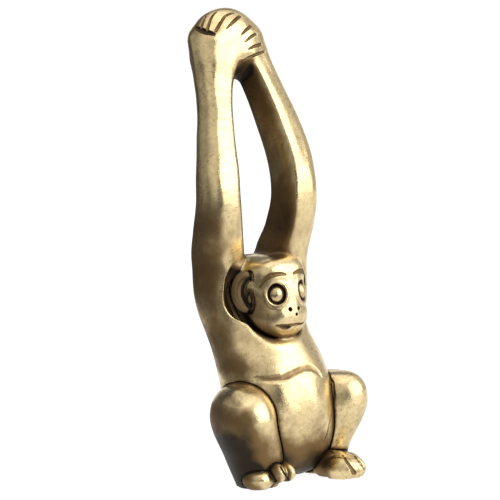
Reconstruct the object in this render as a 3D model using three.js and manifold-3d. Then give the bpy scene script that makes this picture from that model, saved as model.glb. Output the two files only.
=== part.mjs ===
// Cast-brass gibbon figurine. It squats with its knees up and holds its long arms over its head, each hand on the other
// wrist, so that the two arms make a loop for a cord or a key ring.
// Millimetres. +Z is up, the face looks along -Y, and the figure's left side is towards +X.
import * as THREE from "three";
import { mergeVertices } from "three/addons/utils/BufferGeometryUtils.js";
import Module from "manifold-3d";

// Joints between the pieces
const JOINT_GAP = 0.3;

// The figure's own sides
const RIGHT = -1;
const LEFT = 1;

// Trunk, as level sections. Each BACK is how far a section's middle lies behind the middle of the belly.
const SEAT_WIDTH = 8.6;
const SEAT_DEPTH = 8.4;
const SEAT_BACK = 1.0;
const BELLY_HEIGHT = 6.2;
const BELLY_WIDTH = 13.4;
const BELLY_DEPTH = 12.4;
const WAIST_HEIGHT = 12.9;
const WAIST_WIDTH = 14.4;
const WAIST_DEPTH = 13.0;
const WAIST_BACK = 0.6;
const CHEST_RISE = 6.0;
const CHEST_WIDTH = 14.2;
const CHEST_DEPTH = 11.4;
const CHEST_BACK = 3.3;
const SHOULDER_RISE = 8.1;
const SHOULDER_WIDTH = 15.6;
const SHOULDER_DEPTH = 9.6;
const SHOULDER_BACK = 4.4;

// Arms, as level sections from the shoulder joint to the wrist. Each SHARE is how far up the arm's rise a section lies,
// each SPREAD is measured from the mid-plane to the middle of the arm, and each BACK as on the trunk. The left forearm is
// the fuller one and bows further out.
const ARM_RISE = 25.0;
const ARM_WIDTH = 5.2;
const ARM_DEPTH = 7.2;
const ELBOW_SHARE = 0.32;
const RIGHT_ELBOW_SPREAD = 5.85;
const LEFT_ELBOW_SPREAD = 6.1;
const ELBOW_BACK = 2.2;
const ELBOW_WIDTH = 4.8;
const ELBOW_DEPTH = 5.6;
const FOREARM_SHARE = 0.696;
const RIGHT_FOREARM_SPREAD = 4.4;
const LEFT_FOREARM_SPREAD = 5.3;
const FOREARM_BACK = 4.1;
const RIGHT_FOREARM_WIDTH = 3.8;
const LEFT_FOREARM_WIDTH = 5.2;
const FOREARM_DEPTH = 4.7;
const WRIST_SPREAD = 3.1;
const WRIST_BACK = 6.2;
const WRIST_WIDTH = 4.4;
const WRIST_DEPTH = 4.4;

// Head. Its middle lies below the shoulder joint and in front of it.
const HEAD_WIDTH = 8.4;
const HEAD_DEPTH = 10.2;
const HEAD_HEIGHT = 10.0;
const HEAD_DROP = 4.3;
const HEAD_FORWARD = 3.3;
const MUZZLE_WIDTH = 6.4;
const MUZZLE_DEPTH = 6.6;
const MUZZLE_HEIGHT = 5.8;
const MUZZLE_DROP = 2.5;
const MUZZLE_REACH = 5.6;
const EYE_DIAMETER = 1.7;
const EYE_SPACING = 3.8;
const EYE_RISE = 0.7;
const EYE_SOCKET_WIDTH = 2.3;
const EAR_HEIGHT = 4.8;
const EAR_LENGTH = 4.0;
const EAR_THICKNESS = 1.3;
const EAR_FORWARD = 1.2;
const EAR_OVERHANG = 0.35;
const EAR_RISE = 1.1;
const EAR_TURN = 50;

// Legs. The thigh and the shin are one egg-shaped form, turned outwards at the knee and drawn in at the ankle. The right
// leg is the broader one, and the left one stands further out. Each FORWARD is measured from the middle of the belly.
const KNEE_HEIGHT = 12.9;
const KNEE_SPLAY = 15;
const THIGH_OVERHANG = -0.1;
const RIGHT_THIGH_HEIGHT = 8.4;
const RIGHT_THIGH_WIDTH = 7.4;
const RIGHT_THIGH_LENGTH = 11.8;
const RIGHT_THIGH_INSET = 0.3;
const RIGHT_THIGH_FORWARD = 1.5;
const LEFT_THIGH_HEIGHT = 9.0;
const LEFT_THIGH_WIDTH = 6.8;
const LEFT_THIGH_LENGTH = 10.4;
const LEFT_THIGH_OUTSET = 1.0;
const LEFT_THIGH_FORWARD = 0.95;
const SHIN_HEIGHT = 3.7;
const RIGHT_SHIN_WIDTH = 6.7;
const RIGHT_SHIN_LENGTH = 8.6;
const RIGHT_SHIN_INSET = 1.28;
const RIGHT_SHIN_FORWARD = 2.0;
const LEFT_SHIN_WIDTH = 4.7;
const LEFT_SHIN_LENGTH = 8.0;
const LEFT_SHIN_INSET = 0.05;
const LEFT_SHIN_FORWARD = 0.3;
const ANKLE_HEIGHT = 1.1;
const RIGHT_ANKLE_WIDTH = 5.8;
const RIGHT_ANKLE_LENGTH = 6.9;
const RIGHT_ANKLE_INSET = 1.4;
const RIGHT_ANKLE_FORWARD = 2.4;
const LEFT_ANKLE_WIDTH = 3.9;
const LEFT_ANKLE_LENGTH = 6.5;
const LEFT_ANKLE_INSET = 0.4;
const LEFT_ANKLE_FORWARD = 0.4;

// Feet. The left one is turned further out.
const FOOT_LENGTH = 9.8;
const FOOT_WIDTH = 5.0;
const FOOT_HEIGHT = 3.3;
const FOOT_FORWARD = 3.4;
const RIGHT_FOOT_SPREAD = 5.5;
const RIGHT_FOOT_SPLAY = 3;
const LEFT_FOOT_SPREAD = 4.9;
const LEFT_FOOT_SPLAY = 22;
const TOE_COUNT = 4;
const TOE_DIAMETER = 1.8;
const TOE_LENGTH = 3.6;

// Hands. They close into one knob: an egg on the wrists, split across the middle.
const KNOB_WIDTH = 9.8;
const KNOB_DEPTH = 7.2;
const KNOB_HEIGHT = 5.6;
const KNOB_BACK = 1.15;
const DIGIT_DIAMETER = 1.5;
const RIGHT_DIGITS = 5;
const LEFT_DIGITS = 3;
const LEFT_DIGIT_TURNS = [60, 95, 125, 150];

const wasm = await Module();
wasm.setup();

const brass = () => new THREE.MeshStandardMaterial({ color: 0xb8954f, roughness: 0.28, metalness: 1 });
const darkBrass = () => new THREE.MeshStandardMaterial({ color: 0x6d5530, roughness: 0.42, metalness: 1 });

// Solids from three.js geometry, and back

function solidFrom(geometry) {
  const bare = geometry.clone();
  bare.deleteAttribute("normal");
  bare.deleteAttribute("uv");
  const merged = mergeVertices(bare, 1e-4);
  return new wasm.Manifold(
    new wasm.Mesh({
      numProp: 3,
      vertProperties: merged.attributes.position.array,
      triVerts: new Uint32Array(merged.index.array),
    }),
  );
}

function geometryFrom(solid) {
  const mesh = solid.getMesh();
  const geometry = new THREE.BufferGeometry();
  geometry.setAttribute("position", new THREE.BufferAttribute(new Float32Array(mesh.vertProperties), 3));
  geometry.setIndex(new THREE.BufferAttribute(new Uint32Array(mesh.triVerts), 1));
  return geometry;
}

// The largest body that a cut leaves. Offcuts are thrown away.
function mainBody(solid) {
  return solid.decompose().reduce((best, body) => (body.volume() > best.volume() ? body : best));
}

const cut = (solid, ...tools) => mainBody(tools.reduce((rest, tool) => rest.subtract(tool), solid));
const join = (...solids) => solids.reduce((whole, solid) => whole.add(solid));

// A block far larger than the figure, on the given side of the point
const BLOCK = 400;
function blockBeyond(direction, point) {
  const block = new THREE.BoxGeometry(BLOCK, BLOCK, BLOCK);
  const middle = point.clone().addScaledVector(direction, BLOCK / 2);
  return solidFrom(block.translate(middle.x, middle.y, middle.z));
}

// Forms

const vector = (x, y, z) => new THREE.Vector3(x, y, z);
const radians = THREE.MathUtils.degToRad;
const UP = vector(0, 0, 1);
const DOWN = vector(0, 0, -1);
const FRONT = vector(0, -1, 0);
const REAR = vector(0, 1, 0);

// Joins rings of points, all of one length, into a closed skin with a fan at each end.
function skinOver(rings) {
  const count = rings[0].length;
  const points = rings.flat();
  const index = [];
  for (let ring = 0; ring + 1 < rings.length; ring++) {
    for (let i = 0; i < count; i++) {
      const a = ring * count + i;
      const b = ring * count + ((i + 1) % count);
      index.push(a, b, b + count, a, b + count, a + count);
    }
  }
  const middle = (ring) => ring.reduce((sum, p) => sum.add(p), vector(0, 0, 0)).divideScalar(count);
  const first = points.push(middle(rings[0])) - 1;
  const last = points.push(middle(rings.at(-1))) - 1;
  const lastRing = (rings.length - 1) * count;
  for (let i = 0; i < count; i++) {
    const next = (i + 1) % count;
    index.push(first, next, i, last, lastRing + i, lastRing + next);
  }
  return new THREE.BufferGeometry().setFromPoints(points).setIndex(index);
}

// A closed skin over level sections, listed from the bottom up as {x, y, z, width, depth}. A squareness of 2 gives
// ellipses, and a higher one boxier sections. A dome of the given height rounds the top, whose section is the fullest.
function levelForm(stations, { grow = 0, sides = 20, steps = 4, squareness = 2, dome = 0 } = {}) {
  const [before, top] = stations.slice(-2);
  const knots = dome ? [...stations, { ...before, z: 2 * top.z - before.z }] : stations;
  const curveThrough = (points) => new THREE.CatmullRomCurve3(points, false, "catmullrom");
  const middles = curveThrough(knots.map((s) => vector(s.x, s.y, s.z)));
  const halves = curveThrough(knots.map((s) => vector(s.width / 2, s.depth / 2, 0)));
  const bend = (v) => Math.sign(v) * Math.abs(v) ** (2 / squareness);
  const ringAt = (middle, half) =>
    Array.from({ length: sides }, (_, i) => {
      const angle = (2 * Math.PI * i) / sides;
      return vector(half.x * bend(Math.cos(angle)), half.y * bend(Math.sin(angle)), 0).add(middle);
    });
  const count = steps * (stations.length - 1);
  const rings = [];
  for (let i = 0; i <= count; i++) {
    const share = i / (steps * (knots.length - 1));
    const middle = middles.getPoint(share);
    const half = halves.getPoint(share).addScalar(grow);
    if (i === 0) middle.z -= grow;
    if (i === count && !dome) middle.z += grow;
    rings.push(ringAt(middle, half));
  }
  if (dome) {
    const half = vector(top.width / 2, top.depth / 2, 0).addScalar(grow);
    for (const turn of [22, 44, 64, 80].map(radians)) {
      const middle = vector(top.x, top.y, top.z + (dome + grow) * Math.sin(turn));
      rings.push(ringAt(middle, half.clone().multiplyScalar(Math.cos(turn))));
    }
  }
  return skinOver(rings);
}

// A round limb along a curve, with rounded ends
function limb(points, diameter, { grow = 0, sides = 8, steps = 5 } = {}) {
  const curve = new THREE.CatmullRomCurve3(points);
  const frames = curve.computeFrenetFrames(steps);
  const radius = diameter / 2 + grow;
  const ringAt = (step, along, size) => {
    const middle = curve.getPointAt(step / steps).addScaledVector(frames.tangents[step], along);
    return Array.from({ length: sides }, (_, i) => {
      const angle = (2 * Math.PI * i) / sides;
      return middle
        .clone()
        .addScaledVector(frames.normals[step], size * Math.cos(angle))
        .addScaledVector(frames.binormals[step], size * Math.sin(angle));
    });
  };
  const turns = [70, 35].map(radians);
  const start = turns.map((turn) => ringAt(0, -radius * Math.sin(turn), radius * Math.cos(turn)));
  const shaft = Array.from({ length: steps + 1 }, (_, i) => ringAt(i, 0, radius));
  const end = turns.reverse().map((turn) => ringAt(steps, radius * Math.sin(turn), radius * Math.cos(turn)));
  return skinOver([...start, ...shaft, ...end]);
}

// An ellipsoid of the given full sizes, turned about the vertical and then moved to its place
function ellipsoid(size, place, { grow = 0, turn = 0, sides = 20, levels = 12 } = {}) {
  return new THREE.SphereGeometry(1, sides, levels)
    .rotateX(Math.PI / 2)
    .scale(size.x / 2 + grow, size.y / 2 + grow, size.z / 2 + grow)
    .rotateZ(turn)
    .translate(place.x, place.y, place.z);
}

// Heights that follow from the rises
const chestHeight = WAIST_HEIGHT + CHEST_RISE;
const shoulderHeight = chestHeight + SHOULDER_RISE;
const elbowHeight = shoulderHeight + ELBOW_SHARE * ARM_RISE;
const forearmHeight = shoulderHeight + FOREARM_SHARE * ARM_RISE;
const wristHeight = shoulderHeight + ARM_RISE;

// Trunk

function trunk(grow = 0) {
  const stations = [
    { x: 0, y: SEAT_BACK, z: 0, width: SEAT_WIDTH, depth: SEAT_DEPTH },
    { x: 0, y: 0, z: BELLY_HEIGHT, width: BELLY_WIDTH, depth: BELLY_DEPTH },
    { x: 0, y: WAIST_BACK, z: WAIST_HEIGHT, width: WAIST_WIDTH, depth: WAIST_DEPTH },
    { x: 0, y: CHEST_BACK, z: chestHeight, width: CHEST_WIDTH, depth: CHEST_DEPTH },
    { x: 0, y: SHOULDER_BACK, z: shoulderHeight, width: SHOULDER_WIDTH, depth: SHOULDER_DEPTH },
  ];
  return solidFrom(levelForm(stations, { grow, sides: 24, steps: 3 }));
}

// Arms. side is -1 on the figure's right and 1 on its left.

const shoulderSpread = (SHOULDER_WIDTH - ARM_WIDTH) / 2;

function arm(side, grow = 0) {
  const [elbowSpread, forearmSpread, forearmWidth] =
    side === RIGHT
      ? [RIGHT_ELBOW_SPREAD, RIGHT_FOREARM_SPREAD, RIGHT_FOREARM_WIDTH]
      : [LEFT_ELBOW_SPREAD, LEFT_FOREARM_SPREAD, LEFT_FOREARM_WIDTH];
  const stations = [
    [shoulderSpread, SHOULDER_BACK, shoulderHeight + JOINT_GAP, ARM_WIDTH, ARM_DEPTH],
    [elbowSpread, ELBOW_BACK, elbowHeight, ELBOW_WIDTH, ELBOW_DEPTH],
    [forearmSpread, FOREARM_BACK, forearmHeight, forearmWidth, FOREARM_DEPTH],
    [WRIST_SPREAD, WRIST_BACK, wristHeight, WRIST_WIDTH, WRIST_DEPTH],
  ].map(([spread, y, z, width, depth]) => ({ x: side * spread, y, z, width, depth }));
  return solidFrom(levelForm(stations, { grow, sides: 16, steps: 4, squareness: 2.6 }));
}

// Head

const headPlace = vector(0, SHOULDER_BACK - HEAD_FORWARD, shoulderHeight - HEAD_DROP);

function skull(grow = 0) {
  const size = vector(HEAD_WIDTH, HEAD_DEPTH, HEAD_HEIGHT);
  const muzzleSize = vector(MUZZLE_WIDTH, MUZZLE_DEPTH, MUZZLE_HEIGHT);
  const muzzlePlace = headPlace.clone().add(vector(0, MUZZLE_DEPTH / 2 - MUZZLE_REACH, -MUZZLE_DROP));
  return join(
    solidFrom(ellipsoid(size, headPlace, { grow, sides: 24, levels: 14 })),
    solidFrom(ellipsoid(muzzleSize, muzzlePlace, { grow, sides: 18, levels: 10 })),
  );
}

// The middle of an eye, on the skull's surface
function eyePlace(side) {
  const x = (side * EYE_SPACING) / 2;
  const share = 1 - (x / (HEAD_WIDTH / 2)) ** 2 - (EYE_RISE / (HEAD_HEIGHT / 2)) ** 2;
  return headPlace.clone().add(vector(x, (-HEAD_DEPTH / 2) * Math.sqrt(share), EYE_RISE));
}

function ball(diameter, place) {
  return solidFrom(ellipsoid(vector(diameter, diameter, diameter), place, { sides: 12, levels: 8 }));
}

function ear(side, grow = 0) {
  const place = headPlace.clone().add(vector(side * (HEAD_WIDTH / 2 + EAR_OVERHANG), -EAR_FORWARD, EAR_RISE));
  const size = vector(EAR_THICKNESS, EAR_LENGTH, EAR_HEIGHT);
  return solidFrom(ellipsoid(size, place, { grow, turn: radians(-side * EAR_TURN), sides: 16, levels: 10 }));
}

// Legs and feet

const hipSpread = BELLY_WIDTH / 2 + THIGH_OVERHANG;

// Sections of a leg from the ankle up: [inset, forward, height, width, length]
const legSections = {
  [RIGHT]: [
    [RIGHT_ANKLE_INSET, RIGHT_ANKLE_FORWARD, ANKLE_HEIGHT, RIGHT_ANKLE_WIDTH, RIGHT_ANKLE_LENGTH],
    [RIGHT_SHIN_INSET, RIGHT_SHIN_FORWARD, SHIN_HEIGHT, RIGHT_SHIN_WIDTH, RIGHT_SHIN_LENGTH],
    [RIGHT_THIGH_INSET, RIGHT_THIGH_FORWARD, RIGHT_THIGH_HEIGHT, RIGHT_THIGH_WIDTH, RIGHT_THIGH_LENGTH],
  ],
  [LEFT]: [
    [LEFT_ANKLE_INSET, LEFT_ANKLE_FORWARD, ANKLE_HEIGHT, LEFT_ANKLE_WIDTH, LEFT_ANKLE_LENGTH],
    [LEFT_SHIN_INSET, LEFT_SHIN_FORWARD, SHIN_HEIGHT, LEFT_SHIN_WIDTH, LEFT_SHIN_LENGTH],
    [-LEFT_THIGH_OUTSET, LEFT_THIGH_FORWARD, LEFT_THIGH_HEIGHT, LEFT_THIGH_WIDTH, LEFT_THIGH_LENGTH],
  ],
};

function leg(side, grow = 0) {
  const stations = legSections[side].map(([inset, forward, z, width, depth]) => {
    const middle = vector(-side * inset, -forward, 0).applyAxisAngle(UP, radians(-side * KNEE_SPLAY));
    return { x: middle.x, y: middle.y, z, width, depth };
  });
  const form = levelForm(stations, { grow, dome: KNEE_HEIGHT - stations.at(-1).z });
  return solidFrom(form.rotateZ(radians(side * KNEE_SPLAY)).translate(side * hipSpread, 0, 0));
}

function foot(side) {
  const sole = ellipsoid(vector(FOOT_WIDTH, FOOT_LENGTH, FOOT_HEIGHT * 2), vector(0, 0, 0), {});
  const toes = Array.from({ length: TOE_COUNT }, (_, i) => {
    const share = i / (TOE_COUNT - 1) - 0.5;
    const x = share * (FOOT_WIDTH - TOE_DIAMETER / 2);
    const tip = (TOE_DIAMETER - FOOT_LENGTH) / 2 + FOOT_LENGTH * 0.3 * share * share;
    const path = [
      vector(x * 0.8, tip + TOE_LENGTH, FOOT_HEIGHT * 0.55),
      vector(x, tip + TOE_LENGTH / 2, FOOT_HEIGHT * 0.45),
      vector(x, tip, TOE_DIAMETER * 0.45),
    ];
    return limb(path, TOE_DIAMETER, { steps: 4 });
  });
  const [spread, splay] =
    side === RIGHT ? [RIGHT_FOOT_SPREAD, RIGHT_FOOT_SPLAY] : [LEFT_FOOT_SPREAD, LEFT_FOOT_SPLAY];
  const placed = [sole, ...toes].map((form) =>
    solidFrom(form.rotateZ(radians(side * splay)).translate(side * spread, -FOOT_FORWARD, 0)),
  );
  return join(...placed);
}

// Hands

const knobPlace = vector(0, WRIST_BACK + KNOB_BACK, wristHeight + JOINT_GAP);
const knobHalf = vector(KNOB_WIDTH / 2, KNOB_DEPTH / 2, KNOB_HEIGHT);

function knob() {
  return solidFrom(ellipsoid(knobHalf.clone().multiplyScalar(2), knobPlace, { sides: 24, levels: 12 }));
}

// The right hand's digits come round from the front over the other wrist, one above the other.
function rightDigits(grow = 0) {
  return Array.from({ length: RIGHT_DIGITS }, (_, i) => {
    const share = i / (RIGHT_DIGITS - 1);
    const path = [0, 0.35, 0.7, 1].map((along) => {
      const angle = radians(THREE.MathUtils.lerp(-140 + 55 * share, 40, along));
      const rise = THREE.MathUtils.lerp(0.62 - 0.5 * share, 0.93 - 0.8 * share, Math.min(1, along * 1.6));
      const round = Math.sqrt(1 - rise * rise);
      return vector(Math.cos(angle) * round, Math.sin(angle) * round, rise).multiply(knobHalf).add(knobPlace);
    });
    return solidFrom(limb(path, DIGIT_DIAMETER, { grow }));
  });
}

// The left hand's digits come over the top from the rear, side by side, and end on the right wrist.
function leftDigits(grow = 0) {
  return Array.from({ length: LEFT_DIGITS }, (_, i) => {
    const side = (i - (LEFT_DIGITS - 1) / 2) * 0.34;
    const round = Math.sqrt(1 - side * side);
    const path = LEFT_DIGIT_TURNS.map((turn) => {
      const angle = radians(turn);
      return vector(Math.cos(angle) * round, side, Math.sin(angle) * round).multiply(knobHalf).add(knobPlace);
    });
    return solidFrom(limb(path, DIGIT_DIAMETER, { grow }));
  });
}

function rightHand() {
  const palm = knob().subtract(blockBeyond(REAR, knobPlace));
  return cut(join(palm, ...rightDigits()), blockBeyond(DOWN, knobPlace));
}

function leftHand() {
  const split = knobPlace.clone().addScaledVector(REAR, JOINT_GAP);
  const palm = knob().subtract(blockBeyond(FRONT, split));
  return cut(join(palm, ...leftDigits()), blockBeyond(DOWN, knobPlace));
}

// Assembly

const figure = new THREE.Group();

function addPiece(name, solid, material) {
  const mesh = new THREE.Mesh(geometryFrom(solid), material);
  mesh.name = name;
  figure.add(mesh);
}

const ground = blockBeyond(DOWN, vector(0, 0, 0));
const grownSkull = skull(JOINT_GAP);
const grownTrunk = trunk(JOINT_GAP);
const aboveWaist = blockBeyond(UP, vector(0, 0, WAIST_HEIGHT));
const belowChest = blockBeyond(DOWN, vector(0, 0, WAIST_HEIGHT + JOINT_GAP));
const sockets = [RIGHT, LEFT].map((side) => ball(EYE_SOCKET_WIDTH, eyePlace(side)));

addPiece("belly", cut(trunk(), aboveWaist), brass());
addPiece("chest", cut(trunk(), belowChest, grownSkull, ear(RIGHT, JOINT_GAP), ear(LEFT, JOINT_GAP)), brass());
addPiece("head", cut(skull(), ...sockets), brass());

for (const [word, side] of [
  ["right", RIGHT],
  ["left", LEFT],
]) {
  addPiece(word + "_eye", ball(EYE_DIAMETER, eyePlace(side)), darkBrass());
  addPiece(word + "_ear", cut(ear(side), grownSkull), darkBrass());
  addPiece(word + "_arm", cut(arm(side), grownSkull), brass());
  addPiece(word + "_leg", cut(leg(side), grownTrunk, ground), brass());
  addPiece(word + "_foot", cut(foot(side), leg(side, JOINT_GAP), grownTrunk, ground), brass());
}
addPiece("right_hand", cut(rightHand(), ...leftDigits(JOINT_GAP)), brass());
addPiece("left_hand", cut(leftHand(), ...rightDigits(JOINT_GAP)), brass());

// The origin goes to the middle of the figure's footprint, on the ground.
const box = new THREE.Box3().setFromObject(figure);
figure.position.set(-(box.min.x + box.max.x) / 2, -(box.min.y + box.max.y) / 2, -box.min.z);

export default figure;
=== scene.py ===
"""Looks of the cast-brass gibbon figurine: one cast skin, cut into pieces that stand for the CAD nodes."""

import math

import bpy
import numpy as np
from mathutils import Matrix, Vector


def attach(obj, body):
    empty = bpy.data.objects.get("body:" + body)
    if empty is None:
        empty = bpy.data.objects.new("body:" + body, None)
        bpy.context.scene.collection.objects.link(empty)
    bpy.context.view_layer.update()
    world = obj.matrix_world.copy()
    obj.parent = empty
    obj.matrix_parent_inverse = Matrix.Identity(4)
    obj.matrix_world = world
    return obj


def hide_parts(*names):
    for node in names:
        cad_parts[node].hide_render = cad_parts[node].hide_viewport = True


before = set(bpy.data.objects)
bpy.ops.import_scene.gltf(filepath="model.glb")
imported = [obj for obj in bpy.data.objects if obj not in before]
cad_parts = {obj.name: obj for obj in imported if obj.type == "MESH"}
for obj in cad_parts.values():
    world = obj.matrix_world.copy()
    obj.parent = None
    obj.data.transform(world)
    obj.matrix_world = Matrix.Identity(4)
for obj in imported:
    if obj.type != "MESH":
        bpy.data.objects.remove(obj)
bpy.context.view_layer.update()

# All sizes of the figure are in millimetres. The face looks along -Y and the figure's left is +X.
# PLACE is where the middle of the trunk lies in the row frame.
PLACE = np.array([-0.484, 0.006, 0.0])
CELL = 0.115
RIGHT, LEFT = -1, 1
SIDES = {"right": RIGHT, "left": LEFT}

# The photograph's camera: where it stands, and the pixel that the point LOOK falls on
AZIMUTH = math.radians(-35)
ELEVATION = math.radians(6)
ROLL = math.radians(3)
DISTANCE = 500.0
PIXELS_PER_MM = 8.06
IMAGE_SIZE = 500
LOOK = np.array([0.0, 0.0, 30.0])
LOOK_PIXEL = (262.0, 238.0)
TOWARDS = np.array(
    [math.sin(AZIMUTH) * math.cos(ELEVATION), -math.cos(AZIMUTH) * math.cos(ELEVATION), math.sin(ELEVATION)]
)
ACROSS = np.array([math.cos(AZIMUTH), math.sin(AZIMUTH), 0.0])
UPWARDS = np.cross(TOWARDS, ACROSS)
EYE_POINT = LOOK + DISTANCE * TOWARDS


def picture(P):
    """Where points, as a 3 x N array, fall in the photograph's frame."""
    q = P - LOOK[:, None]
    scale = PIXELS_PER_MM * DISTANCE / (DISTANCE - TOWARDS @ q)
    a, b = (ACROSS @ q) * scale, (UPWARDS @ q) * scale
    c, s = math.cos(ROLL), math.sin(ROLL)
    return LOOK_PIXEL[0] + c * a - s * b, LOOK_PIXEL[1] - (s * a + c * b)


def sight(pixels):
    """Directions from the camera through pixels of the photograph's frame, as 3 x N."""
    pixels = np.asarray(pixels, float)
    a, b = pixels[:, 0] - LOOK_PIXEL[0], LOOK_PIXEL[1] - pixels[:, 1]
    c, s = math.cos(ROLL), math.sin(ROLL)
    a, b = (c * a + s * b) / PIXELS_PER_MM, (c * b - s * a) / PIXELS_PER_MM
    rays = -DISTANCE * TOWARDS[:, None] + ACROSS[:, None] * a + UPWARDS[:, None] * b
    return rays / np.linalg.norm(rays, axis=0)


# Fields: the signed distance to a form, negative inside, at points given as a 3 x N array


def smooth_union(a, b, k):
    h = np.clip(0.5 + 0.5 * (b - a) / k, 0, 1)
    return b + (a - b) * h - k * h * (1 - h)


def smooth_cut(a, tool, k):
    return -smooth_union(-a, tool, k)


def creased_union(a, b, radius):
    """Both forms, with a round groove along the line where their surfaces meet."""
    return np.maximum(np.minimum(a, b), radius - np.hypot(a, b))


def ellipsoid(P, centre, half, turn=0.0):
    """An ellipsoid, turned about the vertical by degrees."""
    x, y, z = (P[i] - centre[i] for i in range(3))
    if turn:
        c, s = math.cos(math.radians(turn)), math.sin(math.radians(turn))
        x, y = c * x + s * y, c * y - s * x
    x, y, z = x / half[0], y / half[1], z / half[2]
    k0 = np.sqrt(x * x + y * y + z * z)
    k1 = np.sqrt((x / half[0]) ** 2 + (y / half[1]) ** 2 + (z / half[2]) ** 2)
    return k0 * (k0 - 1) / np.maximum(k1, 1e-6)


def drum(P, centre, half, power, plan=2.0):
    """A form that is round or boxy from above, with a rounded edge between flat top and upright side."""
    x, y, z = (np.abs(P[i] - centre[i]) / half[i] for i in range(3))
    rho = np.maximum((x**plan + y**plan) ** (1 / plan), 1e-3)
    k = (rho**power + z**power) ** (1 / power)
    flat = rho ** (power - plan) * np.hypot(x ** (plan - 1) / half[0], y ** (plan - 1) / half[1])
    steep = np.hypot(flat, z ** (power - 1) / half[2]) * k ** (1 - power)
    return (k - 1) / np.maximum(steep, 1e-4)


SAMPLES_PER_SPAN = 24


class Loft:
    """A form over level sections (x, y, z, half width, half depth), listed from the bottom up."""

    def __init__(self, stations, inner=2.0, outer=2.0, side=0, dome=0.0, crown=2.0, twist=None):
        rows = np.array(stations, float)
        after = 2 * rows[-1] - rows[-2]
        if dome:
            after[[0, 1, 3, 4]] = rows[-2][[0, 1, 3, 4]]
        knots = np.vstack([2 * rows[0] - rows[1], rows, after])
        samples = []
        for i in range(1, len(rows)):
            p0, p1, p2, p3 = knots[i - 1 : i + 3]
            t = np.linspace(0, 1, SAMPLES_PER_SPAN, endpoint=i == len(rows) - 1)[:, None]
            line = 2 * p1 + (p2 - p0) * t + (2 * p0 - 5 * p1 + 4 * p2 - p3) * t**2
            samples.append(0.5 * (line + (3 * p1 - p0 - 3 * p2 + p3) * t**3))
        table = np.vstack(samples)
        self.z = table[:, 2]
        self.values = table[:, [0, 1, 3, 4]]
        self.slopes = np.gradient(self.values, self.z, axis=0)
        self.inner, self.outer, self.side, self.dome, self.crown = inner, outer, side, dome, crown
        self.twist = twist and np.radians(np.interp(self.z, *zip(*twist)))
        reach = self.values[:, 2:]
        self.low = np.append((self.values[:, :2] - reach).min(0), self.z[0])
        self.high = np.append((self.values[:, :2] + reach).max(0), self.z[-1] + dome)

    def field(self, P):
        z = np.clip(P[2], self.z[0], self.z[-1])
        cx, cy, a, b = (np.interp(z, self.z, v) for v in self.values.T)
        sx, sy, sa, sb = (np.interp(z, self.z, v) for v in self.slopes.T)
        X, Y = P[0] - cx, P[1] - cy
        if self.twist is not None:
            turn = np.interp(z, self.z, self.twist)
            c, s = np.cos(turn), np.sin(turn)
            X, Y, sx, sy = c * X + s * Y, c * Y - s * X, c * sx + s * sy, c * sy - s * sx
        n = np.where(X * self.side < 0, self.inner, self.outer) if self.inner != self.outer else self.outer
        u, v = np.abs(X) / a, np.abs(Y) / b
        un, vn = u ** (n - 1), v ** (n - 1)
        rho = np.maximum((un * u + vn * v) ** (1 / n), 1e-4)
        gx, gy = un / a * np.sign(X), vn / b * np.sign(Y)
        gz = -(un * u * sa / a + vn * v * sb / b) - gx * sx - gy * sy
        d = (rho - 1) * rho ** (n - 1) / np.maximum(np.sqrt(gx * gx + gy * gy + gz * gz), 1e-4)
        below = self.z[0] - P[2]
        if self.dome:
            h = np.maximum(P[2] - self.z[-1], 0) / self.dome
            p = self.crown
            k = (rho**p + h**p) ** (1 / p)
            flat = (rho / k) ** (p - 1) * rho ** (1 - n) * np.hypot(gx, gy)
            rise = (h / k) ** (p - 1) / self.dome
            d = np.where(h > 0, (k - 1) / np.maximum(np.hypot(flat, rise), 1e-4), d)
            return np.maximum(d, below)
        return np.maximum(d, np.maximum(below, P[2] - self.z[-1]))


def nearby(P, low, high, field, margin=1.6):
    """A form's field near its box, and elsewhere the distance to the box."""
    gap = np.zeros(P.shape[1])
    for i in range(3):
        gap = np.maximum(gap, np.maximum(low[i] - P[i], P[i] - high[i]))
    near = gap < margin
    if near.any():
        gap[near] = field(P[:, near])
    return gap


def turned(P, x, y, degrees):
    """Points in the frame of a limb that is turned about the vertical through (x, y)."""
    c, s = math.cos(math.radians(degrees)), math.sin(math.radians(degrees))
    return np.stack([c * (P[0] - x) + s * (P[1] - y), c * (P[1] - y) - s * (P[0] - x), P[2]])


def tube(P, points, radii):
    """A round bar along points, whose radius changes from point to point."""
    best = np.full(P.shape[1], 1e3)
    for p, q, r, s in zip(points[:-1], points[1:], radii[:-1], radii[1:]):
        e = q - p
        t = np.clip((e @ (P - p[:, None])) / max(e @ e, 1e-9), 0, 1)
        gap = np.linalg.norm(P - p[:, None] - e[:, None] * t, axis=0)
        best = np.minimum(best, gap - (r + t * (s - r)))
    return best


# Trunk and arms

TRUNK = Loft(
    [
        (1.0, 0.7, -0.4, 3.0, 2.4),
        (0.6, -0.5, 1.5, 5.4, 4.8),
        (0.35, -1.33, 6.2, 6.9, 6.2),
        (0.15, -0.73, 12.9, 6.95, 6.5),
        (-0.15, 1.85, 18.9, 6.5, 5.4),
        (0, 2.95, 24.6, 6.7, 4.9),
    ],
    dome=3.25,
)
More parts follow.
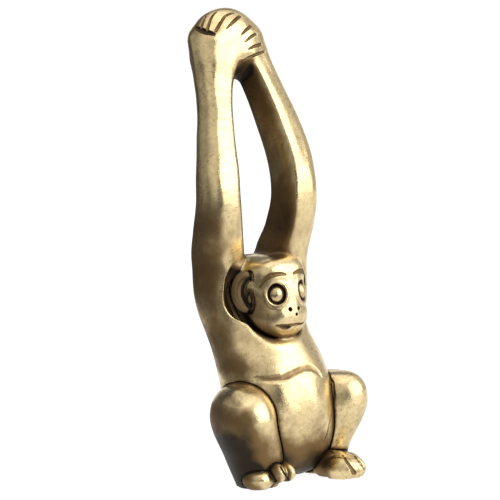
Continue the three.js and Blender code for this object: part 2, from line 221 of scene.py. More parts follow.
# In front of BELLY_REST the belly's underside rises from the ground by BELLY_RISE for each millimetre
BELLY_RISE = 0.26
BELLY_REST = -0.8
BELLY_EDGE = 0.6
ARM_ROWS = {
    RIGHT: [
        (-3.0, 2.2, 14.5, 1.2, 1.6),
        (-4.7, 2.75, 21.0, 2.5, 3.2),
        (-4.95, 3.07, 27.3, 2.6, 3.6),
        (-5.6, 1.75, 31.3, 2.5, 3.2),
        (-5.83, 0.95, 35.0, 2.4, 2.8),
        (-5.4, 1.4, 39.5, 2.25, 2.55),
        (-4.4, 2.77, 44.4, 1.9, 2.3),
        (-3.55, 3.85, 48.4, 2.0, 2.2),
        (-2.95, 4.87, 52.0, 2.15, 2.35),
        (-2.3, 5.6, 54.6, 2.2, 2.4),
    ],
    LEFT: [
        (3.0, 2.2, 14.5, 1.2, 1.6),
        (4.5, 2.75, 21.0, 2.45, 3.2),
        (5.2, 3.07, 27.3, 2.6, 3.6),
        (5.85, 1.75, 31.3, 2.5, 3.2),
        (6.1, 0.95, 35.0, 2.4, 2.8),
        (6.0, 1.4, 39.5, 2.5, 2.6),
        (5.3, 2.77, 44.4, 2.6, 2.4),
        (4.2, 3.85, 48.4, 2.35, 2.3),
        (3.1, 4.87, 52.0, 2.25, 2.35),
        (2.3, 5.6, 54.6, 2.3, 2.4),
    ],
}
# How far the left arm's flat inner side is turned, as (height, degrees)
ARM_TWIST = {RIGHT: None, LEFT: [(34, 0), (38, 9), (42, 20), (46, 20), (50, 19), (53, 12)]}
ARMS = {
    side: Loft(rows, inner=4.0, outer=2.3, side=side, dome=1.5, twist=ARM_TWIST[side])
    for side, rows in ARM_ROWS.items()
}
ARM_BLEND = 1.4

# Hands: one round grip. Its lower edges in front are drawn through two pixels each.

KNOB = np.array([0.0, 6.02, 52.3])
KNOB_HALF = np.array([5.5, 3.95, 6.25])
KNOB_BLEND = 1.2
WEB_HALF = np.array([4.4, 3.2, 2.4])
FINGER_EDGE = ((243.0, 59.5), (266.0, 52.3))
ARCH_EDGE = ((229.5, 84.0), (243.0, 60.0))
WRIST_EDGE = ((188.2, 38.0), (194.8, 64.0))
REAR_EDGE_HEIGHT = 49.6
REAR_EDGE_TILT = 0.12
FRONT_START = KNOB[1] + 1.0
FRONT_LENGTH = 2.5


def beside(P, start, end):
    """Signed distance to a line through two pixels of the photograph's frame, positive on its right."""
    u, v = picture(P)
    along = np.array(end) - start
    along = along / np.linalg.norm(along)
    return ((v - start[1]) * along[0] - (u - start[0]) * along[1]) / PIXELS_PER_MM


def knob(P):
    grip = ellipsoid(P, KNOB, KNOB_HALF)
    front = np.clip((FRONT_START - P[1]) / FRONT_LENGTH, 0, 1)
    rear_edge = (REAR_EDGE_HEIGHT - P[2]) + REAR_EDGE_TILT * P[0]
    arch = smooth_union(beside(P, *FINGER_EDGE), beside(P, *ARCH_EDGE), 1.5)
    low_edge = front * arch + (1 - front) * rear_edge
    grip = smooth_cut(grip, -low_edge, 1.1)
    grip = smooth_cut(grip, -beside(P, *WRIST_EDGE), 0.5)
    return smooth_union(grip, ellipsoid(P, KNOB, WEB_HALF), 0.6)


# Head: each form of the skull is given by its middle and half sizes in the head's own frame

HEAD = np.array([0.0, -0.23, 22.7])
HEAD_TURN = 3.5
SKULL_HALF = np.array([4.2, 5.1, 4.8])
BACK_OF_SKULL = ((0, 0.5, 1.5), (4.65, 4.8, 3.25))
TEMPLES = ((0, -1.0, 1.2), (3.9, 3.85, 3.5))
FOREHEAD = ((0, -1.0, 2.9), (3.7, 3.85, 2.45))
JAW = ((0, -2.2, -2.3), (3.65, 3.45, 2.85))
NOSE = ((0, -4.6, -0.6), (1.1, 0.9, 2.6))


def in_head(P):
    """Points in the head's own frame, from the middle of the skull. The head turns a little to its left."""
    Q = turned(P, HEAD[0], HEAD[1], HEAD_TURN)
    Q[2] -= HEAD[2]
    return Q


def from_head(Q):
    c, s = math.cos(math.radians(HEAD_TURN)), math.sin(math.radians(HEAD_TURN))
    return np.stack([c * Q[0] - s * Q[1], c * Q[1] + s * Q[0], Q[2]]) + HEAD[:, None]


def other_side(P):
    """The same points on the other half of the face."""
    Q = in_head(P)
    Q[0] *= -1
    return from_head(Q)


def skull(Q):
    d = ellipsoid(Q, (0, 0, 0), SKULL_HALF)
    d = smooth_union(d, ellipsoid(Q, *BACK_OF_SKULL), 0.8)
    d = smooth_union(d, drum(Q, *TEMPLES, power=3.6), 0.6)
    d = smooth_union(d, drum(Q, *FOREHEAD, power=2.6, plan=3.0), 0.4)
    d = smooth_union(d, ellipsoid(Q, *JAW), 1.2)
    return smooth_union(d, ellipsoid(Q, *NOSE), 0.6)


# Eyes and ears, for the left half of the head

EYE = np.array([1.9, 0.0, 0.75])
EYE[1] = -SKULL_HALF[1] * math.sqrt(1 - (EYE[0] / SKULL_HALF[0]) ** 2 - (EYE[2] / SKULL_HALF[2]) ** 2)
EYE_OUT = EYE / SKULL_HALF**2 / np.linalg.norm(EYE / SKULL_HALF**2)
EYE_STRETCH = 1.13
EYE_RING_RADIUS = 1.36
EYE_RING_THICKNESS = 0.2
SOCKET_RADIUS = 1.2
SOCKET_LIFT = 0.56
EYEBALL_RADIUS = 0.92
EYEBALL_DEPTH = 0.3
EAR = np.array([4.25, -1.35, 1.1])
EAR_TURN = 50
EAR_OUT = np.array([math.cos(math.radians(EAR_TURN)), -math.sin(math.radians(EAR_TURN)), 0])
EAR_FORE = np.array([EAR_OUT[1], -EAR_OUT[0], 0])
EAR_HALF = (0.62, 1.85, 2.6)
EAR_HOLLOW = EAR + 0.55 * EAR_OUT + 0.2 * EAR_FORE
EAR_HOLLOW_HALF = (0.62, 1.35, 2.05)
EAR_FLAP = EAR + 0.2 * EAR_OUT + 0.55 * EAR_FORE + (0, 0, -0.7)
EAR_FLAP_HALF = (0.5, 0.45, 0.95)


def mirrored(P, side):
    """Points of the figure's left or right half, brought to the left half."""
    return P if side == LEFT else P * np.array([[-1.0], [1.0], [1.0]])


def ball(Q, centre, radius):
    return np.linalg.norm(Q - np.asarray(centre)[:, None], axis=0) - radius


def ring(Q, centre, axis, radius, thickness):
    q = Q - centre[:, None]
    up = axis @ q
    flat = np.linalg.norm(q - axis[:, None] * up, axis=0)
    return np.hypot(flat - radius, up) - thickness


def socket(Q, side):
    """Points in the frame of the eye rings, which are taller than wide."""
    q = mirrored(Q, side).copy()
    q[2] = EYE[2] + (q[2] - EYE[2]) / EYE_STRETCH
    return q


def face(Q):
    """The skull with its eye rings and sockets."""
    d = skull(Q)
    for side in SIDES.values():
        q = socket(Q, side)
        d = smooth_union(d, ring(q, EYE, EYE_OUT, EYE_RING_RADIUS, EYE_RING_THICKNESS), 0.25)
        d = smooth_cut(d, ball(q, EYE + SOCKET_LIFT * EYE_OUT, SOCKET_RADIUS), 0.12)
    return d


def eye(Q, side):
    return ball(socket(Q, side), EYE - EYEBALL_DEPTH * EYE_OUT, EYEBALL_RADIUS)


def ear(Q, side):
    q = mirrored(Q, side)
    shell = ellipsoid(q, EAR, EAR_HALF, turn=-EAR_TURN)
    shell = smooth_cut(shell, ellipsoid(q, EAR_HOLLOW, EAR_HOLLOW_HALF, turn=-EAR_TURN), 0.15)
    return smooth_union(shell, ellipsoid(q, EAR_FLAP, EAR_FLAP_HALF, turn=-EAR_TURN), 0.12)


# Legs and feet, each in a frame at the limb, on the left half of the figure

LEG_PLACE = (6.6, -1.33)
LEG_TURN = 15
RIGHT_LEG = [(-2.0, -2.0, -0.6, 2.35, 2.6), (-1.75, -1.6, 3.6, 3.35, 4.3), (-0.7, -1.4, 8.4, 3.7, 5.9)]
LEFT_LEG = [(-0.7, -0.3, -0.6, 1.7, 2.8), (-0.05, -0.25, 3.8, 2.35, 4.0), (0.72, -1.19, 9.0, 3.4, 5.2)]
LEGS = {
    RIGHT: Loft(RIGHT_LEG, 2.2, 2.2, dome=4.5),
    LEFT: Loft(LEFT_LEG, 2.05, 2.05, dome=3.7, crown=3.1),
}
# Each foot's place and turn, and the middle and half sizes of its sole and toes
FEET = {RIGHT: (5.5, -4.73, 3), LEFT: (4.9, -4.6, 22)}
SOLES = {
    RIGHT: [((0.3, 0.7, 0), (1.9, 2.5, 3.0)), ((-0.9, -0.4, 1.9), (2.3, 1.9, 1.2))],
    LEFT: [((0.2, -0.7, 1.35), (2.2, 2.9, 1.8))],
}
SOLE_BLEND = 0.4
TOES = {
    RIGHT: [
        ((1.05, -1.2, 1.15), (1.85, 2.05, 1.4)),
        ((-0.75, -2.35, 1.85), (1.15, 2.0, 1.25)),
        ((-2.25, -2.3, 1.8), (0.95, 1.9, 1.2)),
    ],
    LEFT: [
        ((1.8, -1.4, 1.0), (1.6, 2.6, 1.85)),
        ((0.5, -3.5, 1.05), (0.95, 1.7, 1.45)),
        ((-0.75, -3.9, 1.05), (0.95, 1.7, 1.4)),
        ((-1.6, -2.8, 1.15), (1.3, 2.2, 1.6)),
    ],
}
TOE_BLEND = {RIGHT: 0.3, LEFT: 0.5}
# How far each limb's box reaches below and above its place, for nearby
LEG_REACH = ((5, 8.5, 0.6), (5, 6.5, 13))
FOOT_MIDDLE = (5.2, -4.73)
FOOT_REACH = ((4.5, 6, 1), (4.5, 6, 3.4))
HEAD_REACH = ((6.5, 7, 6), (6.5, 6, 6))


def leg(P, side):
    return LEGS[side].field(turned(mirrored(P, side), *LEG_PLACE, LEG_TURN))


def foot(P, side):
    Q = turned(mirrored(P, side), *FEET[side])
    first, *rest = SOLES[side]
    d = ellipsoid(Q, *first)
    for form in rest:
        d = smooth_union(d, ellipsoid(Q, *form), SOLE_BLEND)
    for form in TOES[side]:
        d = smooth_union(d, ellipsoid(Q, *form), TOE_BLEND[side])
    return d


def parts(P):
    """The fields of the separate forms."""
    lifted = P[2] + BELLY_RISE * (P[1] - BELLY_REST)
    f = {"trunk": smooth_cut(TRUNK.field(P), lifted, BELLY_EDGE)}
    low, high = HEAD - HEAD_REACH[0], HEAD + HEAD_REACH[1]
    for word, side in SIDES.items():
        arm = ARMS[side]
        f[word + "_arm"] = nearby(P, arm.low, arm.high, arm.field)
        place = np.array([side * LEG_PLACE[0], LEG_PLACE[1], 0.0])
        f[word + "_leg"] = nearby(P, place - LEG_REACH[0], place + LEG_REACH[1], lambda Q: leg(Q, side))
        place = np.array([side * FOOT_MIDDLE[0], FOOT_MIDDLE[1], 0.0])
        f[word + "_foot"] = nearby(P, place - FOOT_REACH[0], place + FOOT_REACH[1], lambda Q: foot(Q, side))
        f[word + "_ear"] = nearby(P, low, high, lambda Q: ear(in_head(Q), side))
        f[word + "_eye"] = nearby(P, low, high, lambda Q: eye(in_head(Q), side))
    f["knob"] = nearby(P, KNOB - KNOB_HALF, KNOB + KNOB_HALF, knob)
    f["head"] = nearby(P, low, high, lambda Q: face(in_head(Q)), margin=3.0)
    return f


# The whole casting

LIP_GAP = 1.2
LIP_WIDTH = 0.4
LIP_HEIGHT = 0.06
RECESS_DEPTH = 0.9
RECESS_DARK = 0.38
CROWN_BLEND = 0.7
EAR_ROOM = {RIGHT: 0.75, LEFT: 0.15}
EYE_STAINS = ((0.6, 0.9, 0.15), (0.4, 1.05, 0.22))
KNEE_SPOT = np.array([-8.9, -5.8, 11.45])
KNEE_FACING = np.array([-0.617, -0.274, 0.736])
KNEE_RADIUS = 2.0
WAVE_HEIGHT = 0.025


def recessed(P, f, d, dark):
    """The body with the recess round the head and behind the ears, and a raised lip along it."""
    below = HEAD[2] - P[2]
    lip = np.exp(-(((f["head"] - LIP_GAP) / LIP_WIDTH) ** 2)) * np.clip((below + 1) / 2, 0, 1)
    d = d - LIP_HEIGHT * lip
    width = np.interp(P[1], [-4.2, -3.0, -1.5, -0.3], [0.0, 0.05, 0.3, 0.7])
    width = width * np.clip((below + 3.2) / 1.7, 0, 1) * np.interp(P[0], [0.5, 3], [1.0, 0.3])
    edge = 0.25 + 0.6 * np.clip((below + 1.5) / 2, 0, 1)
    ear_gaps = [f[word + "_ear"] - EAR_ROOM[side] for word, side in SIDES.items()]
    for gap in [f["head"] - width] + ear_gaps:
        recess = np.maximum(gap, -RECESS_DEPTH - d)
        if dark is not None:
            darkening = np.clip(0.6 - recess / 0.15, 0, 1) * np.clip((0.1 - d) / 0.2, 0, 1)
            np.maximum(dark, RECESS_DARK * darkening, out=dark)
        d = smooth_cut(d, recess, edge)
    return d


def seams(P):
    """The seams that the sculptor cut: the form's name, the groove's radius and how dark it is."""
    jaw = np.interp(P[2], [HEAD[2] + 1.5, HEAD[2] + 3.2], [0.4, 0.02])
    jaw = jaw * np.interp(P[1], [-4.8, -3.2, -0.5], [0.22, 0.5, 1.0])
    yield "head", jaw, 0.4
    for word in SIDES:
        yield word + "_ear", 0.2, 0.3
        yield word + "_eye", 0.0, 0.0
        yield word + "_leg", 0.14, 0.08
        yield word + "_foot", 0.13, 0.15


def unseamed_share(P):
    """Where the head runs into the body without a groove: at its top and under the chin."""
    top = np.clip((P[2] - HEAD[2] - 2.6) / 1.2, 0, 1)
    chin = np.clip((-3.0 - P[1]) / 1.2, 0, 1) * np.clip(HEAD[2] - 2.5 - P[2], 0, 1)
    return np.maximum(top, chin)


def stain_eyes(P, dark):
    """Adds the dark rings round the eyeballs, each as (darkness, radius, half width)."""
    for side in SIDES.values():
        q = socket(in_head(P), side) - EYE[:, None]
        flat = np.linalg.norm(q - EYE_OUT[:, None] * (EYE_OUT @ q), axis=0)
        inside = np.abs(EYE_OUT @ q) < SOCKET_RADIUS
        for amount, radius, width in EYE_STAINS:
            ring_share = np.clip((width - np.abs(flat - radius)) / 0.12, 0, 1)
            np.maximum(dark, amount * inside * ring_share, out=dark)


def figure(P, dark=None):
    """The whole casting before its engraved lines. The darkness of the seams is added to the array dark."""
    f = parts(P)
    d = f["trunk"]
    for word in SIDES:
        d = smooth_union(d, f[word + "_arm"], ARM_BLEND)
    d = smooth_union(d, f["knob"], KNOB_BLEND)
    d = recessed(P, f, d, dark)
    for name, radius, amount in seams(P):
        if dark is not None and amount:
            near = np.hypot(d, f[name]) / np.maximum(radius, 1e-3)
            np.maximum(dark, amount * np.clip((1.9 - near) / 0.8, 0, 1), out=dark)
        creased = creased_union(d, f[name], radius)
        if name == "head":
            creased = creased + unseamed_share(P) * (smooth_union(d, f[name], CROWN_BLEND) - creased)
        d = creased
    if dark is not None:
        stain_eyes(P, dark)
    offset = P - KNEE_SPOT[:, None]
    round_spot = np.linalg.norm(offset * np.array([[1.0], [1.0], [1.5]]), axis=0) - KNEE_RADIUS
    d = smooth_cut(d, np.maximum(round_spot, -0.1 - KNEE_FACING @ offset), 0.12)
    wave = np.sin(1.1 * P[0] + 0.6) * np.sin(1.3 * P[1] + 1.9) + np.sin(0.9 * P[2] + 1.4 * P[0])
    return np.maximum(d + WAVE_HEIGHT * wave, -P[2])


def slope(field, P, step=0.03):
    """The gradient of a field."""
    out = np.empty_like(P)
    for i in range(3):
        shift = np.zeros((3, 1))
        shift[i] = step
        out[i] = (field(P + shift) - field(P - shift)) / (2 * step)
    return out


TRACE_CLEARANCE = 25.0
TRACE_STEPS = 60
TRACE_STRIDE = 0.8


def trace(pixels, behind=False):
    """Points of the casting that show at these pixels of the photograph's frame, and the normals there.
    With behind=True they lie where the same sight lines leave the casting at its back."""
    rays = sight(pixels)
    way = -1.0 if behind else 1.0
    along = np.full(rays.shape[1], DISTANCE - TRACE_CLEARANCE * way)
    for _ in range(TRACE_STEPS):
        along += TRACE_STRIDE * way * figure(EYE_POINT[:, None] + rays * along)
    P = EYE_POINT[:, None] + rays * along
    n = slope(figure, P)
    return P, n / np.linalg.norm(n, axis=0)


# Engraving: grooves drawn through pixels of the photograph's frame, with their radii from end to end

BROW = [
    *[(259.5, 287.2), (262.6, 282.1), (265.9, 278.7), (270.4, 275.8)],
    *[(275.9, 274.5), (281.3, 274), (285.5, 274.7)],
]
BROW_RADII = [0.18, 0.27, 0.3, 0.29, 0.2]
MOUTH = [(276.5, 325.8), (283, 325.5), (291, 324.9), (297, 324.2), (303.5, 323)]
MOUTH_RADII = [0.06, 0.12, 0.13, 0.12, 0.06]
MOUTH_CORNER = [(279.5, 326.6), (283.5, 327.5), (287.5, 327.5), (291, 326)]
MOUTH_CORNER_RADII = [0.08, 0.23, 0.22, 0.1]
NEAR_NOSTRIL = (290.4, 309.4)
LOW_NOSTRIL = (297, 314.3)
WAIST_FOLD = [
    *[(257, 378.5), (264, 379.6), (271, 380), (282, 378.6), (293, 373)],
    *[(303.6, 368), (311, 367.6), (317, 371), (321, 376)],
]
WAIST_FOLD_RADII = [0.15, 0.34, 0.36, 0.32, 0.12]
HIP_FOLD = [(329, 373), (333, 383), (334, 396), (332.5, 410), (329, 426), (324, 442)]
HIP_FOLD_RADII = [0.06, 0.12, 0.12, 0.06]
TOP_FINGERS = [
    ([(200.6, 28.3), (202.6, 22), (205, 17)], [0.19, 0.1]),
    ([(206.7, 30.6), (210, 20), (215.9, 11.7)], [0.2, 0.11]),
    ([(215.9, 30.6), (225, 16), (233.5, 12.5)], [0.2, 0.11]),
]
FINGER_TIPS = [(195.5, 27.8), (200, 29.8), (206, 32), (213.5, 34)]
FINGER_TIPS_RADII = [0.25, 0.36, 0.36, 0.25]
FRONT_FINGERS = [
    ([(226.2, 28.7), (233, 22), (240, 16)], [0.06, 0.2, 0.15]),
    ([(241.5, 34.8), (246, 30), (251, 25.8)], [0.06, 0.17, 0.15]),
    ([(245, 42), (251, 37), (256, 34)], [0.06, 0.17, 0.15]),
    ([(248.4, 49.3), (255, 46), (261, 44.3)], [0.06, 0.17, 0.17]),
]
HAND_EDGE = [(244, 60.5), (250, 57), (257, 54.2), (264.5, 51.5)]
HAND_EDGE_RADII = [0.1, 0.16, 0.16, 0.12]
KNUCKLES_BEHIND = [
    ([(213, 15), (210, 22), (209, 29), (210, 36)], [0.08, 0.19, 0.19, 0.08]),
    ([(223, 11), (221, 19), (221, 28), (223, 37)], [0.08, 0.2, 0.2, 0.08]),
    ([(234, 12), (233, 20), (234, 29), (237, 38)], [0.08, 0.19, 0.19, 0.08]),
]
DARK_TOE_GAPS = [
    ([(269, 471), (270.8, 474.2), (272.6, 477.3), (274.5, 480.4)], [0.16, 0.26, 0.26]),
    ([(280, 466), (282, 469.6), (284.2, 473.3), (286.2, 477), (288, 480.4)], [0.08, 0.15, 0.15]),
    (
        [(342.7, 455.3), (345, 459), (347.5, 462.8), (350, 466.5), (352.3, 470), (354.4, 473.2)],
        [0.1, 0.18, 0.28],
    ),
]
LAST_TOE_GAP = [(354, 455.5), (356.5, 458.8), (359, 462), (361.5, 465.5), (364, 469.3)]
LAST_TOE_GAP_RADII = [0.08, 0.14, 0.14]
STAIN_BESIDE_LINE = 0.14


class Line:
    """A groove in the casting's surface, through pixels of the photograph's frame.
    With a lift its axis lies that far above the surface, so the groove is shallower."""

    def __init__(self, pixels, radii, lift=0.0, soft=0.08, mirror=False, dark=0.35, behind=False):
        P, n = trace(pixels, behind)
        points = (P + n * np.asarray(lift)).T
        self.radii = np.interp(np.linspace(0, 1, len(points)), np.linspace(0, 1, len(radii)), radii)
        self.runs = [points] + ([other_side(points.T).T] if mirror else [])
        self.soft, self.dark = soft, dark

    def apply(self, P, d, dark=None):
        for points in self.runs:
            reach = self.radii.max() + 0.5
            low, high = points.min(0) - reach, points.max(0) + reach
            near = np.all((P > low[:, None]) & (P < high[:, None]), axis=0)
            if near.any():
                bar = tube(P[:, near], points, self.radii)
                if dark is not None:
                    darkening = self.dark * np.clip(1 - bar / STAIN_BESIDE_LINE, 0, 1)
                    dark[near] = np.maximum(dark[near], darkening)
                d[near] = smooth_cut(d[near], bar, self.soft)
        return d


LINES = [
    Line(BROW, BROW_RADII, lift=0.12, mirror=True, dark=0.52),
    Line(MOUTH, MOUTH_RADII, dark=0.4),
    Line(MOUTH_CORNER, MOUTH_CORNER_RADII, lift=0.05, dark=0.75),
    Line([NEAR_NOSTRIL] * 2, [0.25, 0.2], lift=[0.1, -0.45], mirror=True),
    Line([LOW_NOSTRIL] * 2, [0.18, 0.15], lift=[0.1, -0.35], dark=0.4),
    Line(WAIST_FOLD, WAIST_FOLD_RADII, lift=0.2, soft=0.4, dark=0.2),
    Line(HIP_FOLD, HIP_FOLD_RADII, soft=0.2, dark=0.08),
    *[Line(*groove) for groove in TOP_FINGERS],
    Line(FINGER_TIPS, FINGER_TIPS_RADII, lift=0.1, dark=0.8),
    *[Line(*groove) for groove in FRONT_FINGERS],
    Line(HAND_EDGE, HAND_EDGE_RADII, dark=0.3),
    *[Line(*groove, behind=True) for groove in KNUCKLES_BEHIND],
    *[Line(*groove, dark=0.45) for groove in DARK_TOE_GAPS],
    Line(LAST_TOE_GAP, LAST_TOE_GAP_RADII),
]


def casting(P):
    """The whole casting with its engraving."""
    d = figure(P)
    for line in LINES:
        d = line.apply(P, d)
    return d


def darkness(P):
    """How much black patina the seams and engraved lines hold at points of the skin."""
    dark = np.zeros(P.shape[1])
    d = figure(P, dark)
    for line in LINES:
        line.apply(P, d, dark)
    return dark


# Skin: the zero surface of the casting's field, as quads

GRID_LOW = np.array([-10.6, -10.4, -0.6])
GRID_HIGH = np.array([12.0, 10.4, 59.4])
BLOCK = 8
BLOCKS_PER_CALL = 300
DEEPEST_LINE = 0.7


def field_grid():
    """The casting's field on a grid. Blocks of cells away from the skin hold the value at their middle."""
    shape = np.ceil((GRID_HIGH - GRID_LOW) / (CELL * BLOCK)).astype(int)
    grid = np.empty(shape * BLOCK, np.float32)
    index = np.stack(np.meshgrid(*[np.arange(count) for count in shape], indexing="ij"), -1).reshape(-1, 3)
    offsets = np.stack(np.meshgrid(*[np.arange(BLOCK)] * 3, indexing="ij"), -1).reshape(-1, 3)
    middle = GRID_LOW[:, None] + CELL * (index.T * BLOCK + (BLOCK - 1) / 2)
    coarse = figure(middle)
    blocks = grid.reshape(shape[0], BLOCK, shape[1], BLOCK, shape[2], BLOCK)
    blocks[...] = coarse.reshape(shape[0], 1, shape[1], 1, shape[2], 1)
    close = index[np.abs(coarse) < CELL * BLOCK * 0.9 + DEEPEST_LINE]
    close = close[np.argsort(close[:, 2], kind="stable")]
    for part in np.array_split(close, max(1, len(close) // BLOCKS_PER_CALL)):
        nodes = (part[:, None, :] * BLOCK + offsets).reshape(-1, 3).T
        grid[tuple(nodes)] = casting(GRID_LOW[:, None] + CELL * nodes)
    return grid


def surface(grid):
    """The zero surface of a grid: a point in each cell that it crosses, as 3 x N, and quads between them."""
    inside = grid < 0
    count = np.zeros(np.array(grid.shape) - 1, np.int8)
    corners = [(i, j, k) for i in (0, 1) for j in (0, 1) for k in (0, 1)]
    for corner in corners:
        count += inside[tuple(slice(c, length - 1 + c) for c, length in zip(corner, grid.shape))]
    cells = np.argwhere((count > 0) & (count < 8))
    total = np.zeros((len(cells), 3))
    hits = np.zeros((len(cells), 1))
    for corner in corners:
        for axis in range(3):
            if corner[axis]:
                continue
            end = list(corner)
            end[axis] = 1
            a = grid[tuple((cells + corner).T)]
            b = grid[tuple((cells + end).T)]
            cross = (a < 0) != (b < 0)
            point = (cells + corner).astype(float)
            point[:, axis] += np.where(cross, a / np.where(cross, a - b, 1), 0)
            total += point * cross[:, None]
            hits += cross[:, None]
    number = np.full(count.shape, -1, np.int32)
    number[tuple(cells.T)] = np.arange(len(cells))
    quads = []
    for axis in range(3):
        u, v = (axis + 1) % 3, (axis + 2) % 3
        a = inside[tuple(slice(0, -1) if i == axis else slice(1, -1) for i in range(3))]
        b = inside[tuple(slice(1, None) if i == axis else slice(1, -1) for i in range(3))]
        for first, flip in ((a & ~b, False), (b & ~a, True)):
            at = np.argwhere(first) + [0 if i == axis else 1 for i in range(3)]
            around = []
            for du, dv in ((1, 1), (0, 1), (0, 0), (1, 0)):
                cell = at.copy()
                cell[:, u] -= du
                cell[:, v] -= dv
                around.append(number[tuple(cell.T)])
            quad = np.stack(around, 1)
            quads.append(quad[:, ::-1] if flip else quad)
    return (GRID_LOW + CELL * total / hits).T, np.vstack(quads)


def in_chunks(field, P, size=60000):
    return np.concatenate([field(P[:, i : i + size]) for i in range(0, P.shape[1], size)], axis=-1)


# Where the skin is cut into the nodes: heights of the cuts, and the lines between the two hands

WAIST_CUT = 13.05
SHOULDER_CUT = 27.15
WRIST_CUT = 52.15
HANDS_CUT_DEPTH = 6.1
FINGER_CORNER = (214, 34)
FINGER_CORNER_SLOPES = (0.35, 0.62)


def labels(P):
    """The node that each point of the skin belongs to."""
    f = parts(P)
    names = ["body", "head"] + [word + "_" + limb for limb in ("ear", "eye", "leg", "foot") for word in SIDES]
    body = np.minimum(np.minimum(f["trunk"], f["knob"]), np.minimum(f["right_arm"], f["left_arm"]))
    fields = [body] + [f[name] for name in names[1:]]
    pick = np.array(names, dtype="<U10")[np.argmin(np.stack(fields), axis=0)]
    own = pick == "body"
    pick = np.where(own & (P[2] > SHOULDER_CUT), np.where(P[0] < 0, "right_arm", "left_arm"), pick)
    u, v = picture(P)
    right, down = u - FINGER_CORNER[0], v - FINGER_CORNER[1]
    over_the_top = (down < right * FINGER_CORNER_SLOPES[0]) & (right < -down * FINGER_CORNER_SLOPES[1])
    hand = np.where((P[1] > HANDS_CUT_DEPTH) | over_the_top, "left_hand", "right_hand")
    pick = np.where(own & (P[2] > WRIST_CUT), hand, pick)
    return np.where(pick == "body", np.where(P[2] > WAIST_CUT, "chest", "belly"), pick)


# Patina and painted shade: brown, and black where it is deepest. The patina lies in the seams and hollows;
# the painted shade lies on undersides, inside the loop of the arms, low on the figure and on the sides that
# face away from the key light

# Where the painted highlight on the right knee lies, as a pixel, and its half sizes
PAINTED_KNEE_HIGHLIGHT = (238, 399)
PAINTED_KNEE_HIGHLIGHT_HALF = (1.75, 0.95)


def ease(value, low, high):
    share = np.clip((value - low) / (high - low), 0, 1)
    return share * share * (3 - 2 * share)


def closed_in(P, n):
    """How closed in the skin is: 0 in the open, about 1 in a narrow groove, and more on undersides, where the
    extra is painted shade.
    """
    closed = np.zeros(P.shape[1])
    for reach, weight in ((0.25, 0.3), (0.6, 0.4), (1.3, 0.3)):
        open_share = np.clip(in_chunks(casting, P + n * reach) / reach, 0, 1)
        closed += weight * (1 - open_share)
    # The extra on undersides is painted shade
    return closed + 0.4 * np.clip(-n[2] - 0.1, 0, 1)


